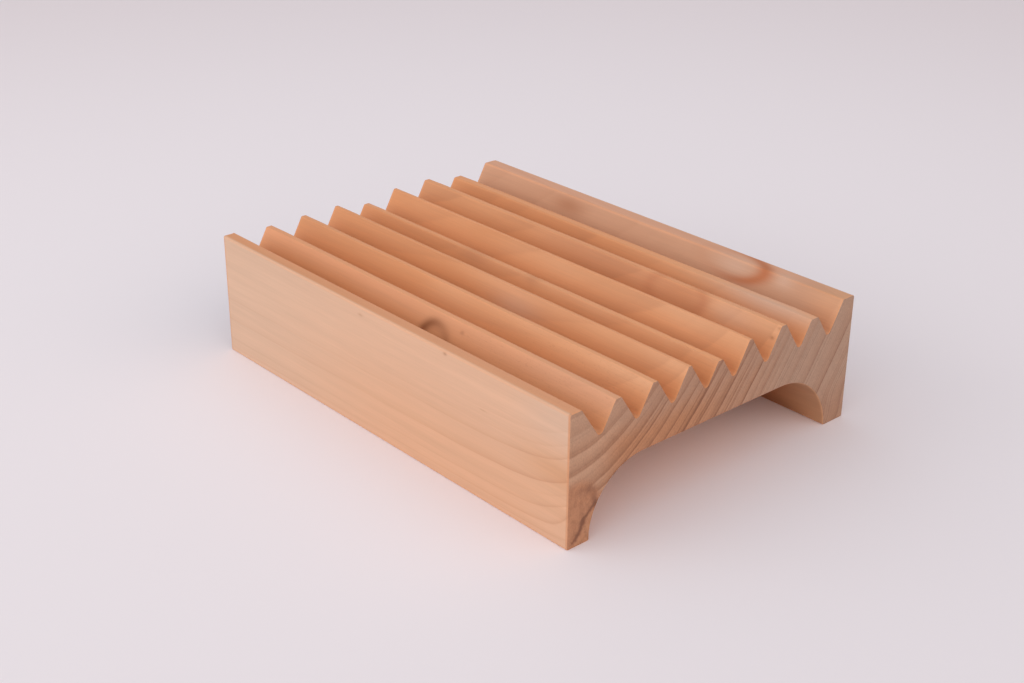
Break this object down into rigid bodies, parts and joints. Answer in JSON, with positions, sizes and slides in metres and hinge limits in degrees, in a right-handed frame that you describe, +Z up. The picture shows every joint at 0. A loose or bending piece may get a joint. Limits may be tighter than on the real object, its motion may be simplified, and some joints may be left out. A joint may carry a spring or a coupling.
{
  "type": "soap dish",
  "caption": "Wooden soap dish cut from a single block, with V-shaped drain grooves along the top and an arch underneath that leaves two long feet.",
  "frame": {"origin": "on the surface that the dish stands on, under the middle of its box", "axes": "+Y along the grooves, +X across them, +Z up through the ridged top"},
  "size_m": [0.086, 0.12, 0.03],
  "materials": {
    "sanded_softwood": "sanded, bare or thinly oiled, matte to satin"
  },
  "bodies": {
    "root": {"dish_body": "sanded_softwood"}
  },
  "joints": []
}
